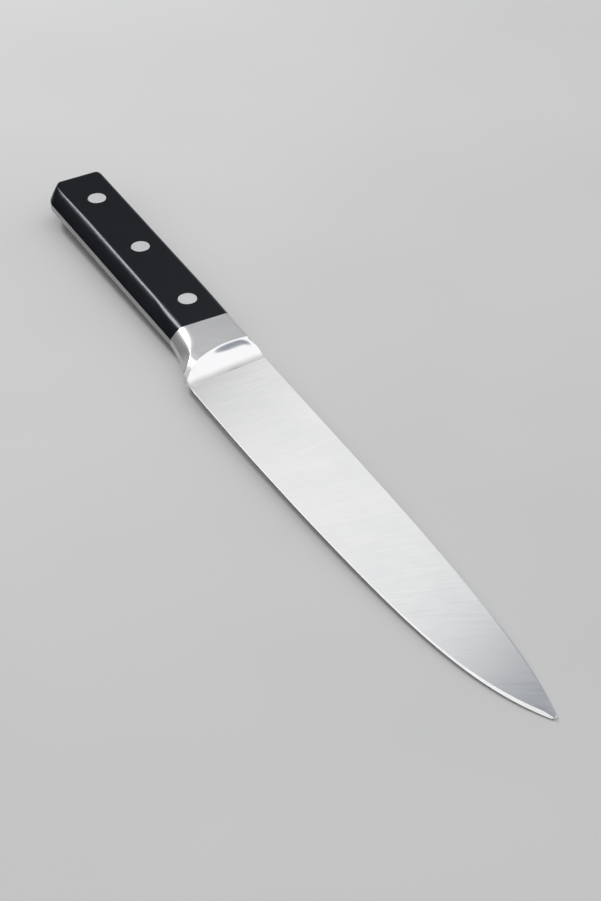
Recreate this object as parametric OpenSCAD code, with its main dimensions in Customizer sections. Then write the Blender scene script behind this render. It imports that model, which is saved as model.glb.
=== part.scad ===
// Carving knife: one forged steel piece is the blade, the bolster and the full tang,
// two moulded scales lie on the tang, and three two-piece rivets hold them.
// Lengths are measured from the butt of the handle, widths from the line of rivets
// (towards the spine is positive) and heights from the middle plane of the blade.

/* [Blade] */
// Length of the blade, from the foot of the bolster to the tip
blade_l = 200; // [150:1:260]
// Distance from the line of rivets up to the straight spine of the blade
blade_spine_w = 9.6; // [8:0.1:12]
// Distance from the line of rivets down to the straight cutting edge
blade_edge_w = 19.8; // [17:0.1:28]
// Thickness of the spine where the bolster ends
spine_t = 2.4; // [1.8:0.1:3.6]
// Thickness of the spine just behind the tip
tip_t = 0.9; // [0.6:0.1:1.6]
// Thickness of the blade just above the cutting bevel
bevel_t = 0.5; // [0.3:0.05:0.8]
// Thickness left at the cutting edge
edge_t = 0.12; // [0.08:0.01:0.2]
// Width of the cutting bevel at the heel
heel_bevel_w = 0.7; // [0.4:0.1:1.5]
// Width of the cutting bevel near the tip
tip_bevel_w = 1.3; // [0.6:0.1:2]
// Width of the broken edge along the spine
spine_chamfer = 0.3; // [0.1:0.05:0.5]
// Length, behind the tip, over which the spine sweeps down
spine_sweep_l = 130; // [100:1:145]
// Length, behind the tip, over which the edge sweeps up
edge_sweep_l = 180; // [100:1:195]
// Radius of the blunt nose of the tip
nose_r = 0.7; // [0.5:0.1:1.5]
// Height of the tip above the line of rivets
tip_w = 0.4; // [-3:0.1:4]

/* [Bolster] */
// Length of the flat part of the bolster, from the scales to its front crease
bolster_l = 15.7; // [13:0.1:22]
// Length of the polished shoulder between the crease and the blade
shoulder_l = 9.5; // [8.5:0.1:16]
// How far the crease bows towards the tip on its way down to the edge
crease_bow = 8.5; // [6:0.1:9.5]
// How far the foot of the shoulder leans towards the tip at the edge side
foot_lean = 1.6; // [0:0.1:3]
// Distance from the line of rivets up to the spine of the bolster
neck_spine_w = 8.75; // [7.5:0.05:10]
// Length over which the handle narrows into the bolster
neck_l = 26; // [15:1:35]
// Width of the guard's narrow front where its ridge leaves the crest
guard_front_l = 4.2; // [2.5:0.1:5.5]
// Width of the guard's narrow front at its chin
chin_front_l = 3.2; // [1.5:0.1:4.5]
// How far the chin of the guard stays back from the line of the edge
chin_lift = 0.65; // [0.2:0.05:2]
// Thickness of the guard at its chin
chin_t = 4.6; // [3:0.1:7]
// Length from the chin to where the edge is thin
heel_l = 9; // [6:0.1:12]
// Distance from the line of rivets to the crest where the guard's ridge starts
ridge_crest_w = 13.5; // [11.5:0.1:14.5]
// Distance from the line of rivets to where the crease leaves the flat side
crease_crest_w = 12.8; // [10.5:0.1:13.5]

/* [Handle] */
// Length of the scales, from the butt to the bolster
handle_l = 110.1; // [100:0.1:125]
// Thickness of the handle over both scales
handle_t = 10.2; // [8.5:0.1:14]
// Thickness of the tang
tang_t = 2.5; // [2:0.1:3.5]
// Distance from the line of rivets up to the spine of the handle
handle_spine_w = 9.25; // [8:0.05:12]
// Distance from the line of rivets down to the belly of the handle at the butt
butt_belly_w = 14.3; // [12.5:0.1:17]
// Distance from the line of rivets down to the belly of the handle at the bolster
neck_belly_w = 13.95; // [12.5:0.05:16]
// Distance from the line of rivets to the crest of the belly side at the butt
butt_crest_w = 9.6; // [8:0.1:11]
// Distance from the line of rivets to the crest along the middle of the handle
grip_crest_w = 8.8; // [7.5:0.1:10.5]
// Distance from the line of rivets to the crest at the bolster
neck_crest_w = 10.3; // [9:0.1:11.5]
// Rounding of the long edges on the spine side
spine_round_r = 1.75; // [1:0.05:2.2]
// Rounding of the edges around the butt
butt_round_r = 1.9; // [1:0.1:2.2]
// Corner radius of the butt on the belly side
belly_corner_r = 10; // [5:0.1:11]
// Corner radius of the butt on the spine side
spine_corner_r = 3; // [2:0.1:6]

/* [Rivets] */
// Diameter of the rivet heads
head_d = 6.8; // [6:0.1:8]
// Height of the rivet heads
head_h = 1.6; // [1:0.1:2.2]
// Outer diameter of the hollow rivet half
sleeve_d = 4.4; // [3.6:0.1:5]
// Diameter of the solid rivet half
pin_d = 2.8; // [2:0.1:3.2]
// Distance from the butt to the rear rivet
rear_rivet_s = 18.7; // [14:0.1:24]
// Distance from the rear rivet to the middle one
rear_rivet_gap = 37.8; // [30:0.1:42]
// Distance from the front rivet to the bolster
front_rivet_end = 14.9; // [12:0.1:18]

/* [Fits] */
// Clearance round each rivet head in its counterbore
head_fit = 0.03; // [0.01:0.01:0.1]
// Clearance round the hollow half in the scales and the tang
sleeve_fit = 0.05; // [0.01:0.01:0.1]
// Clearance between the solid half and the hollow half
pin_fit = 0.02; // [0.01:0.01:0.05]
// Gap left at the blind ends inside a closed rivet
end_gap = 0.3; // [0.1:0.05:0.6]

/* [Hidden] */
$fn = 64;

// Stations along the knife
crease_s = handle_l + bolster_l;
chin_s = crease_s + crease_bow - chin_front_l;
foot_s = crease_s + shoulder_l;
overall_l = foot_s + blade_l;
rivet_s = [rear_rivet_s, rear_rivet_s + rear_rivet_gap, handle_l - front_rivet_end];

// The knife's box is centred on the origin and its lower flat lies at height zero
axis_w = (blade_edge_w - max(blade_spine_w, handle_spine_w)) / 2;
half_t = handle_t / 2;
tang_h = tang_t / 2;

// Distance from the line of rivets down to the chin, and half the chin's thickness
chin_w = blade_edge_w - chin_lift;
chin_h = chin_t / 2;

// How far the cuts run past the faces they open
overrun = 0.5;

// Shapes of the curves, as shares of the sizes they act on
spine_sweep_share = 0.45;
edge_sweep_share = 0.44;
nose_end_share = 0.04;
grip_bulge_share = 0.35;
neck_bulge_share = 0.1;
ridge_bulge_share = 0.9;
crease_bulge_share = 1;
crest_settle_share = 0.35;
belly_flare_share = 0.6;
crest_corner_share = 0.55;
crease_apex_share = 0.33;
short_shoulder_share = 0.63;
short_start_share = 1;
short_end_share = 1;
long_start_share = 0.1;
long_end_share = 2.1;
long_lip_share = 0.8;
shoulder_spine_share = 0.5;
round_wall_share = 0.7;
narrow_share = 0.33;
chamfer_wall_share = 0.6;
wall_share = 0.4;

// Powers of the curves that turn up to the tip, and of those that shape the guard
spine_sweep_power = 6;
edge_sweep_power = 8;
crease_power = 2;
crest_power = 2.2;
belly_flare_power = 4;
ridge_power = 1.4;
ridge_bulge_power = 2;
chin_power = 2;
lip_power = 6;

// Where the points of a cross-section lie, from the spine to the belly
round_angles = [0, 30, 60, 90];
flat_shares = [0.2, 0.4, 0.6, 0.8];
facet_shares = [0, 0.2, 0.4, 0.6, 0.8, 1];
chamfer_shares = [0, 0.33, 0.67, 1];
face_shares = [0.15, 0.3, 0.45, 0.6, 0.7, 0.78, 0.86, 0.93, 1];
crest_point = len(round_angles) + len(flat_shares);
belly_point = crest_point + len(facet_shares) - 1;

// Where the cross-sections lie along each stretch
butt_shares = [0, 0.03, 0.08, 0.16, 0.28, 0.45, 0.7, 1];
grip_steps = 16;
bolster_steps = 12;
guard_steps = 2;
shoulder_steps = 12;
blade_steps = 26;
nose_shares = [0.6, 0.3, 0.12, 0];

// An eased step from 0 to 1
function ease(t) = (1 - cos(180 * min(1, max(0, t)))) / 2;
function mix(a, b, t) = a + (b - a) * t;
// How far a round corner of radius r draws in at distance d from the end
function corner(r, d) = d >= r ? 0 : r - sqrt(r * r - (r - d) * (r - d));
// A curve that sweeps slowly and then turns up to 1 at the tip
function sweep(t, share, power) = share * pow(t, 2) + (1 - share) * pow(t, power);
// Share of a swept stretch that lies behind station s
function swept(s, stretch) = max(0, 1 - (overall_l - s) / stretch);
// How far the round nose draws in the outline at station s
function nose_inset(s) = corner(nose_r, overall_l - s + nose_end_share * nose_r);

// Outline of the blade
function blade_spine(s) =
    let (drop = blade_spine_w - tip_w - nose_r)
    blade_spine_w - nose_inset(s)
        - drop * sweep(swept(s, spine_sweep_l), spine_sweep_share, spine_sweep_power);
function blade_belly(s) =
    let (rise = blade_edge_w + tip_w - nose_r)
    blade_edge_w - nose_inset(s)
        - rise * sweep(swept(s, edge_sweep_l), edge_sweep_share, edge_sweep_power);

// Outline of the whole knife
function neck(s) = ease((s - handle_l + neck_l) / (neck_l + bolster_l));
function grip_spine(s) = mix(handle_spine_w, neck_spine_w, neck(s)) - corner(spine_corner_r, s);
function grip_belly(s) =
    mix(butt_belly_w, neck_belly_w, min(1, s / handle_l)) - corner(belly_corner_r, s);
function spine_w(s) =
    s < crease_s
    ? grip_spine(s)
    : mix(neck_spine_w, blade_spine(s), ease((s - crease_s) / (shoulder_spine_share * shoulder_l)));
// Shares of the way from the scales to the chin, and of the way left from the chin to the heel
function guard_share(s) = min(1, max(0, (s - handle_l) / (chin_s - handle_l)));
function heel_share(s) = 1 - min(1, max(0, (s - chin_s) / heel_l));
function belly_w(s) =
    let (flare = mix(pow(guard_share(s), belly_flare_power), guard_share(s), belly_flare_share))
    s < handle_l
    ? grip_belly(s)
    : s < chin_s
    ? mix(neck_belly_w, chin_w, flare)
    : mix(blade_belly(s), chin_w, heel_share(s));

// Crest between the flat side of the handle and its belly side
function crest_w(s) =
    let (
        settle = ease(s / (crest_settle_share * handle_l)),
        rise = ease((s - handle_l + neck_l) / neck_l),
        past = max(0, s - handle_l) / (ridge_line(crest_point) - handle_l)
    )
    mix(mix(butt_crest_w, grip_crest_w, settle), neck_crest_w, rise)
        + (ridge_crest_w - neck_crest_w) * pow(past, crest_power)
        - corner(crest_corner_share * belly_corner_r, s);

// The side between crest and belly falls slowly at first: t is the share of the way down
function facet(t, bulge) = t * (1 - bulge) + bulge * t * t;
function bulge(s) = mix(grip_bulge_share, neck_bulge_share, ease((s - handle_l + neck_l) / neck_l));

// Half thickness of the handle, rounded off at the butt
function grip_h(s) = half_t - corner(butt_round_r, s);
// Rounding of the spine side, no more than the wall above the tang allows
function spine_round(top) = min(spine_round_r, round_wall_share * (top - tang_h));
// Half thickness along the belly: it grows up to the chin and then falls to the edge
function strip_h(s) =
    s < chin_s
    ? mix(tang_h, chin_h, pow(guard_share(s), chin_power))
    : mix(edge_t / 2, chin_h, pow(heel_share(s), chin_power));

// Widths and heights of the points of a cross-section with a crest
function grip_widths(spine, belly, crest, top) =
    let (radius = spine_round(top), edge = spine - radius)
    concat(
        [for (a = round_angles) edge + radius * cos(a)],
        [for (f = flat_shares) mix(edge, -crest, f)],
        [for (f = facet_shares) -mix(crest, belly, f)]
    );
function grip_heights(top, strip, bulge) =
    concat(
        [for (a = round_angles) top - spine_round(top) * (1 - sin(a))],
        [for (f = flat_shares) top],
        [for (f = facet_shares) mix(top, strip, facet(f, bulge))]
    );

// Widths of the points of a cross-section of the blade, whose bevel and broken edge narrow at the tip
function narrowed(s, size) = min(size, narrow_share * (belly_w(s) + spine_w(s)));
function bevel_w(s) = narrowed(s, mix(heel_bevel_w, tip_bevel_w, swept(s, blade_l)));
function spine_h(s) = mix(spine_t, tip_t, swept(s, blade_l)) / 2;
function chamfer_w(s) = min(narrowed(s, spine_chamfer), chamfer_wall_share * spine_h(s));
function blade_widths(s) =
    let (top = spine_w(s) - chamfer_w(s), low = bevel_w(s) - belly_w(s))
    concat(
        [for (f = chamfer_shares) spine_w(s) - chamfer_w(s) * f],
        [for (f = face_shares) mix(top, low, f)],
        [-belly_w(s)]
    );
// Flat-ground face of the blade with its cutting bevel and broken spine, at width w
function blade_face(s, w) =
    let (
        from_edge = w + belly_w(s),
        from_spine = spine_w(s) - w,
        bevel = bevel_w(s),
        rise = (from_edge - bevel) / (from_edge + from_spine - bevel)
    )
    from_edge < bevel
    ? mix(edge_t, bevel_t, max(0, from_edge) / bevel) / 2
    : min(mix(bevel_t / 2, spine_h(s), rise), spine_h(s) - chamfer_w(s) + from_spine);

// Stations of the cross-sections of the tang and the scales
scale_stations = concat(
    [for (f = butt_shares) f * belly_corner_r],
    [for (k = [1 : grip_steps - 1]) mix(belly_corner_r, handle_l, k / grip_steps)],
    [handle_l]
);

// Lines along the forging, each given for the numbered point of a cross-section
crease_widths = grip_widths(neck_spine_w, chin_w, crease_crest_w, half_t);
function crease_line(i) =
    let (
        apex = crease_apex_share * neck_spine_w,
        off = abs(apex - crease_widths[i]) / (apex + chin_w)
    )
    crease_s + crease_bow * pow(off, crease_power);
function ridge_line(i) =
    i <= crest_point
    ? crease_line(i) - guard_front_l
    : mix(chin_s, ridge_line(crest_point), pow(1 - facet_shares[i - crest_point], ridge_power));
function foot_line(i) =
    foot_s + foot_lean * (blade_spine_w - crease_widths[i]) / (blade_spine_w + blade_edge_w);

// Point i of the forging, at share t of the way from the scales to the ridge of the guard
function back_point(t, i) =
    let (
        s = mix(handle_l, ridge_line(i), t),
        belly_s = mix(handle_l, chin_s, t),
        crest_s = mix(handle_l, ridge_line(crest_point), t),
        bulge = mix(neck_bulge_share, ridge_bulge_share, pow(t, ridge_bulge_power))
    )
    [
        s,
        grip_widths(spine_w(s), belly_w(belly_s), crest_w(crest_s), half_t)[i],
        grip_heights(half_t, strip_h(belly_s), bulge)[i]
    ];
// Point i on the crease, which falls from the flat side to the edge
crease_end_s = crease_line(belly_point);
crease_heights = grip_heights(half_t, strip_h(crease_end_s), crease_bulge_share);
function front_widths(s) =
    grip_widths(spine_w(s), belly_w(max(s, crease_end_s)), crease_crest_w, half_t);
function crease_point(i) = [crease_line(i), front_widths(crease_line(i))[i], crease_heights[i]];
// Where the shoulder is long it is scooped, with a lip at the crease; where it is short it is straight
function scoop(i) =
    let (
        length_share = (foot_line(i) - crease_line(i)) / shoulder_l,
        past = (length_share - short_shoulder_share) / (1 - short_shoulder_share)
    )
    min(1, max(0, past));
function shoulder_fall(t, i) =
    mix(short_start_share, long_start_share, scoop(i)) * (pow(t, 3) - 2 * pow(t, 2) + t)
        + mix(short_end_share, long_end_share, scoop(i)) * (pow(t, 3) - pow(t, 2))
        + long_lip_share * scoop(i) * t * pow(1 - t, lip_power)
        + 3 * pow(t, 2) - 2 * pow(t, 3);
// Point i on the shoulder, at share t of the way from the crease to the foot
function shoulder_point(t, i) =
    let (
        s = mix(crease_line(i), foot_line(i), t),
        w = mix(front_widths(s)[i], blade_widths(s)[i], ease(t)),
        h = mix(crease_heights[i], blade_face(s, w), shoulder_fall(t, i))
    )
    [s, w, i < belly_point ? h : strip_h(s)];
// Point i on the blade, at station s
function blade_point(s, i) =
    let (w = blade_widths(s)[i], h = blade_face(s, w))
    [s, w, i < belly_point ? h : max(h, strip_h(s))];

// Point i of the tang, flush with the scales all round
function tang_point(s, i) = [s, grip_widths(spine_w(s), belly_w(s), crest_w(s), grip_h(s))[i], tang_h];

// Point on the wall of the spine: level with the top of the tang behind the bolster
function wall_point(p) =
    [p[0], p[1], mix(tang_h, wall_share * p[2], ease((p[0] - handle_l) / bolster_l))];
// Closed cross-section of the forging, whose lower half mirrors the upper one
function ring(points) =
    let (half = concat([wall_point(points[0])], points))
    concat(half, [for (i = [len(half) - 1 : -1 : 0]) [half[i][0], half[i][1], -half[i][2]]]);
forged_rings = concat(
    [for (s = scale_stations) ring([for (i = [0 : belly_point]) tang_point(s, i)])],
    [for (k = [0 : bolster_steps - 1])
        ring([for (i = [0 : belly_point]) back_point(k / bolster_steps, i)])],
    [for (k = [0 : guard_steps - 1])
        ring([for (i = [0 : belly_point])
            mix(back_point(1, i), crease_point(i), k / guard_steps)])],
    [for (k = [0 : shoulder_steps - 1])
        ring([for (i = [0 : belly_point]) shoulder_point(k / shoulder_steps, i)])],
    [for (k = [0 : blade_steps])
        ring([for (i = [0 : belly_point])
            blade_point(mix(foot_line(i), overall_l - nose_r, k / blade_steps), i)])],
    [for (f = nose_shares)
        ring([for (i = [0 : belly_point]) blade_point(overall_l - nose_r * f, i)])]
);

// Cross-section of a scale above the tang
function scale_ring(s) =
    let (
        widths = grip_widths(grip_spine(s), grip_belly(s), crest_w(s), grip_h(s)),
        heights = grip_heights(grip_h(s), tang_h, bulge(s))
    )
    concat([[s, grip_spine(s), tang_h]], [for (i = [0 : belly_point]) [s, widths[i], heights[i]]]);

function middle(ring) = [for (p = ring) 1] * ring / len(ring);
function distinct(a, b, c) = a != b && b != c && c != a;
// A solid through cross-sections that have as many points each
module loft(rings) {
    count = len(rings[0]);
    last = len(rings) - 1;
    points = concat([for (ring = rings) each ring], [middle(rings[0]), middle(rings[last])]);
    rear = len(points) - 2;
    front = len(points) - 1;
    sides = [
        for (i = [0 : last - 1], j = [0 : count - 1])
            let (a = i * count + j, b = i * count + (j + 1) % count)
            each [[a, a + count, b], [b, a + count, b + count]]
    ];
    rear_cap = [for (j = [0 : count - 1]) [rear, j, (j + 1) % count]];
    front_cap = [for (j = [0 : count - 1]) [front, last * count + (j + 1) % count, last * count + j]];
    faces = concat(rear_cap, sides, front_cap);
    polyhedron(points, [for (f = faces) if (distinct(points[f[0]], points[f[1]], points[f[2]])) f]);
}

// Moves the knife from its own lines to the frame of the part
module in_frame() {
    translate([-overall_l / 2, axis_w, half_t]) children();
}

// Through holes for the hollow rivet halves
module rivet_bores(from_h, to_h) {
    for (s = rivet_s)
        translate([s, 0, from_h]) cylinder(h = to_h - from_h, d = sleeve_d + 2 * sleeve_fit);
}

module blade() {
    color([0.83, 0.84, 0.85]) in_frame() difference() {
        loft(forged_rings);
        rivet_bores(-half_t, half_t);
    }
}

// A scale with its bores and the counterbores that take the rivet heads
module scale_body() {
    difference() {
        loft([for (s = scale_stations) scale_ring(s)]);
        rivet_bores(tang_h - overrun, half_t);
        for (s = rivet_s)
            translate([s, 0, half_t - head_h])
                cylinder(h = head_h + overrun, d = head_d + 2 * head_fit);
    }
}

module upper_scale() {
    color([0.13, 0.13, 0.14]) in_frame() scale_body();
}

module lower_scale() {
    color([0.13, 0.13, 0.14]) in_frame() mirror([0, 0, 1]) scale_body();
}

// Solid half of a rivet, its head in the upper scale
module rivet_pin(s) {
    color([0.78, 0.78, 0.79]) in_frame() translate([s, 0, 0]) {
        translate([0, 0, half_t - head_h]) cylinder(h = head_h, d = head_d);
        translate([0, 0, head_h + end_gap - half_t])
            cylinder(h = handle_t - 2 * head_h - end_gap, d = pin_d);
    }
}

// Hollow half of a rivet, its head in the lower scale
module rivet_sleeve(s) {
    color([0.74, 0.74, 0.75]) in_frame() translate([s, 0, -half_t]) difference() {
        union() {
            cylinder(h = head_h, d = head_d);
            cylinder(h = handle_t - head_h - end_gap, d = sleeve_d);
        }
        translate([0, 0, head_h]) cylinder(h = handle_t, d = pin_d + 2 * pin_fit);
    }
}

blade();
upper_scale();
lower_scale();
rivet_pin(rivet_s[0]);  // rear_rivet_pin
rivet_sleeve(rivet_s[0]);  // rear_rivet_sleeve
rivet_pin(rivet_s[1]);  // middle_rivet_pin
rivet_sleeve(rivet_s[1]);  // middle_rivet_sleeve
rivet_pin(rivet_s[2]);  // front_rivet_pin
rivet_sleeve(rivet_s[2]);  // front_rivet_sleeve
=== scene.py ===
import math

import bmesh
import bpy
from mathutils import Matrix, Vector


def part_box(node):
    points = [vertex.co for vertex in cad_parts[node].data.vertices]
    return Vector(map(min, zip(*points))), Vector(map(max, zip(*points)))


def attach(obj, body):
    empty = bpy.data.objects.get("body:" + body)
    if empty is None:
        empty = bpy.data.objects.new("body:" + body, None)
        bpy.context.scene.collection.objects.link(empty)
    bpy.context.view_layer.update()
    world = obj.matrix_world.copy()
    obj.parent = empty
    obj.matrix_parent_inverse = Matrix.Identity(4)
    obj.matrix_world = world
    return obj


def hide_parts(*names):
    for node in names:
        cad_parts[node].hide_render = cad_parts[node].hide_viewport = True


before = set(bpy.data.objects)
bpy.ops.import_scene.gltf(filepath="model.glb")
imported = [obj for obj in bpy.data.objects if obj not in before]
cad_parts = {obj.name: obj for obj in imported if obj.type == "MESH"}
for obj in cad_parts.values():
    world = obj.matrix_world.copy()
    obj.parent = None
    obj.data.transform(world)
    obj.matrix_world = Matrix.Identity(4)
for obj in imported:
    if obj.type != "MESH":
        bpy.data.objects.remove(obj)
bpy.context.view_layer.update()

# Looks of a carving knife: the forging, the scales and the rivets are remade as fine meshes with the
# same outlines as the CAD source, and lie where the CAD solids lie. Sizes are in millimetres, and
# become metres where a mesh is made. As in the CAD source, stations run from the butt to the tip,
# widths from the line of rivets (towards the spine is positive), heights from the middle plane.
MM = 0.001


def box_mm(node):
    """Lowest and highest corner of a CAD node, in millimetres."""
    low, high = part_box(node)
    return [v / MM for v in low], [v / MM for v in high]


# Sizes that the frame gives
FORGING_LOW, FORGING_HIGH = box_mm("blade")
SCALE_LOW, SCALE_HIGH = box_mm("upper_scale")
REAR_LOW, REAR_HIGH = box_mm("rear_rivet_pin")
BUTT_X = FORGING_LOW[0]
AXIS_Y = (REAR_LOW[1] + REAR_HIGH[1]) / 2
HALF_T = (FORGING_HIGH[2] - FORGING_LOW[2]) / 2
OVERALL_L = FORGING_HIGH[0] - FORGING_LOW[0]
HANDLE_L = SCALE_HIGH[0] - SCALE_LOW[0]
TANG_H = SCALE_LOW[2] - HALF_T
HEAD_D = REAR_HIGH[0] - REAR_LOW[0]

# Blade. The bevel and the broken spine are shaped to catch the light as in the photograph.
BLADE_L = 200
BLADE_SPINE_W = 9.6
BLADE_EDGE_W = 19.8
SPINE_T = 2.4
TIP_T = 0.9
BEVEL_T = 0.22
EDGE_T = 0.12
HEEL_BEVEL_W = 0.18
TIP_BEVEL_W = 1.7
TIP_BEVEL_T = 0.8
SPINE_CHAMFER = 0.45
CHAMFER_FALL = 0.4
SPINE_SWEEP_L = 130
EDGE_SWEEP_L = 180
NOSE_R = 0.7
TIP_W = 0.4
# Power of the bevel's growth from the heel to the tip
BEVEL_POWER = 5

# Bolster
SHOULDER_L = 9.5
CREASE_BOW = 8.5
FOOT_LEAN = 1.6
NECK_SPINE_W = 8.75
NECK_L = 26
GUARD_FRONT_L = 4.2
CHIN_FRONT_L = 3.2
CHIN_LIFT = 0.65
CHIN_T = 4.6
HEEL_L = 9
RIDGE_CREST_W = 13.5
CREASE_CREST_W = 12.8
# Up to this length the shoulder is straight, and the longer it is, the more it is scooped
SHORT_SHOULDER_L = 6.8
# Only a share of the scoop is left on the rim along the spine, and it fades in beside the rim
RIM_W = 1.8
RIM_FADE_W = 3
RIM_SCOOP_SHARE = 0.45

# Handle
HANDLE_SPINE_W = 9.25
BUTT_BELLY_W = 14.3
NECK_BELLY_W = 13.95
BUTT_CREST_W = 9.6
GRIP_CREST_W = 8.8
NECK_CREST_W = 10.3
# Power of the crest's swing from the handle out to the bolster
CREST_FLARE_POWER = 1.6
SPINE_ROUND_R = 1.75
BUTT_ROUND_R = 1.9
BELLY_CORNER_R = 10
SPINE_CORNER_R = 3

# Rivets, with the clearances, the broken edges of heads and bores, and the overrun of the cutters
HEAD_H = 1.6
SLEEVE_D = 4.4
PIN_D = 2.8
HEAD_FIT = 0.03
SLEEVE_FIT = 0.05
PIN_FIT = 0.02
END_GAP = 0.3
HEAD_BREAK = 0.1
BORE_BREAK = 0.08
CUTTER_OVERRUN = 1

# Shapes of the curves, as shares of the sizes they act on, and as powers, as in the CAD source
SPINE_SWEEP_SHARE = 0.45
EDGE_SWEEP_SHARE = 0.44
NOSE_END_SHARE = 0.04
CREST_SETTLE_SHARE = 0.35
BELLY_FLARE_SHARE = 0.6
CREST_CORNER_SHARE = 0.55
CREASE_APEX_SHARE = 0.33
LONG_START_SHARE = 0.1
LONG_END_SHARE = 2.1
LONG_LIP_SHARE = 0.8
SHOULDER_SPINE_SHARE = 0.5
ROUND_WALL_SHARE = 0.7
NARROW_SHARE = 0.33
CHAMFER_WALL_SHARE = 0.6
WALL_SHARE = 0.4
SPINE_SWEEP_POWER = 6
EDGE_SWEEP_POWER = 8
CREASE_POWER = 2
CREST_POWER = 2.2
BELLY_FLARE_POWER = 4
RIDGE_POWER = 1.4
RIDGE_BULGE_POWER = 2
CHIN_POWER = 2
LIP_POWER = 6

# How far in height the rounding of the crest reaches, and how it grows along the handle
BUTT_CREST_SOFT = 0.15
GRIP_CREST_SOFT = 0.35
JOINT_CREST_SOFT = 2.2
RIDGE_CREST_SOFT = 0.3
GRIP_SOFT_SHARE = 0.5
JOINT_SOFT_POWER = 1.3

# Share of the belly side's fall that is a curve and not a plane. The plane runs on above the crest,
# where the crest's rounding needs it, with no less than the last share of its slope.
GRIP_BULGE = 0.55
JOINT_BULGE = 0.1
RIDGE_BULGE = 0.9
CREASE_BULGE = 1.0
LEAST_SLOPE_SHARE = 0.3

# How many rows or columns on each side of a fold are smoothed, how often, and how strongly
RIDGE_REACH = 4
RIDGE_PASSES = 8
BELLY_REACH = 4
BELLY_PASSES = 6
SMOOTHING_SHARE = 0.8

# Parts of the bolster's length over which the smoothing of its belly edge fades in and out
BELLY_FADE_SHARE = 0.11
CHIN_FADE_SHARE = 0.45

# Folds sharper than this stay crisp
FORGING_SHARP_DEG = 24
SCALE_SHARP_DEG = 24
TURNED_SHARP_DEG = 30

# Stations
FOOT_S = OVERALL_L - BLADE_L
CREASE_S = FOOT_S - SHOULDER_L
BOLSTER_L = CREASE_S - HANDLE_L
CHIN_S = CREASE_S + CREASE_BOW - CHIN_FRONT_L
CHIN_W = BLADE_EDGE_W - CHIN_LIFT
CHIN_H = CHIN_T / 2


def ease(t):
    """An eased step from 0 to 1."""
    return (1 - math.cos(math.pi * min(1, max(0, t)))) / 2


def mix(a, b, t):
    """From a to b over t from 0 to 1."""
    return a + (b - a) * t


def corner(radius, distance):
    """How far a round corner draws in at a distance from its end."""
    if distance >= radius:
        return 0
    return radius - math.sqrt(radius ** 2 - (radius - distance) ** 2)


def soft_min(a, b, reach):
    """The smaller value, rounded off where the two are closer than the reach."""
    near = max(0, reach - abs(a - b)) / reach
    return min(a, b) - reach * near ** 2 / 4


# Outline of the blade
def sweep(t, share, power):
    """A curve that sweeps slowly and then turns up to 1 at the tip."""
    return share * t ** 2 + (1 - share) * t ** power


def swept(s, stretch):
    """Share of a swept stretch that lies behind a station."""
    return max(0, 1 - (OVERALL_L - s) / stretch)


def nose_inset(s):
    """How far the round nose draws in the outline."""
    return corner(NOSE_R, OVERALL_L - s + NOSE_END_SHARE * NOSE_R)


def blade_spine(s):
    drop = BLADE_SPINE_W - TIP_W - NOSE_R
    turn = sweep(swept(s, SPINE_SWEEP_L), SPINE_SWEEP_SHARE, SPINE_SWEEP_POWER)
    return BLADE_SPINE_W - nose_inset(s) - drop * turn


def blade_belly(s):
    rise = BLADE_EDGE_W + TIP_W - NOSE_R
    turn = sweep(swept(s, EDGE_SWEEP_L), EDGE_SWEEP_SHARE, EDGE_SWEEP_POWER)
    return BLADE_EDGE_W - nose_inset(s) - rise * turn


# Outline of the whole knife
def spine_w(s):
    if s >= CREASE_S:
        past = (s - CREASE_S) / (SHOULDER_SPINE_SHARE * SHOULDER_L)
        return mix(NECK_SPINE_W, blade_spine(s), ease(past))
    neck = ease((s - HANDLE_L + NECK_L) / (NECK_L + BOLSTER_L))
    return mix(HANDLE_SPINE_W, NECK_SPINE_W, neck) - corner(SPINE_CORNER_R, s)


def guard_share(s):
    """Share of the way from the scales to the chin of the guard."""
    return min(1, max(0, (s - HANDLE_L) / (CHIN_S - HANDLE_L)))


def heel_share(s):
    """Share left of the way from the chin to where the edge is thin."""
    return 1 - min(1, max(0, (s - CHIN_S) / HEEL_L))


def belly_w(s):
    if s < HANDLE_L:
        return mix(BUTT_BELLY_W, NECK_BELLY_W, s / HANDLE_L) - corner(BELLY_CORNER_R, s)
    if s < CHIN_S:
        share = guard_share(s)
        return mix(NECK_BELLY_W, CHIN_W, mix(share ** BELLY_FLARE_POWER, share, BELLY_FLARE_SHARE))
    return mix(blade_belly(s), CHIN_W, heel_share(s))


def near_neck(s):
    """An eased step from 0 to 1 over the length in which the handle narrows."""
    return ease((s - HANDLE_L + NECK_L) / NECK_L)


def crest_w(s):
    """Distance down to the crest between the flat side and the belly side."""
    grip = mix(BUTT_CREST_W, GRIP_CREST_W, ease(s / (CREST_SETTLE_SHARE * HANDLE_L)))
    handle = mix(grip, NECK_CREST_W, near_neck(s) ** CREST_FLARE_POWER)
    past = max(0, s - HANDLE_L) / (ridge_line(CREST) - HANDLE_L)
    flare = (RIDGE_CREST_W - NECK_CREST_W) * past ** CREST_POWER
    return handle + flare - corner(CREST_CORNER_SHARE * BELLY_CORNER_R, s)


def crest_soft(s):
    grip = mix(BUTT_CREST_SOFT, GRIP_CREST_SOFT, ease(s / (GRIP_SOFT_SHARE * HANDLE_L)))
    return mix(grip, JOINT_CREST_SOFT, near_neck(s) ** JOINT_SOFT_POWER)


def grip_h(s):
    """Half thickness of the handle, rounded off at the butt."""
    return HALF_T - corner(BUTT_ROUND_R, s)


def strip_h(s):
    """Half thickness along the belly, which grows up to the chin and then falls to the edge."""
    if s < CHIN_S:
        return mix(TANG_H, CHIN_H, guard_share(s) ** CHIN_POWER)
    return mix(EDGE_T / 2, CHIN_H, heel_share(s) ** CHIN_POWER)


def bulge(s):
    return mix(GRIP_BULGE, JOINT_BULGE, near_neck(s))


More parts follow.
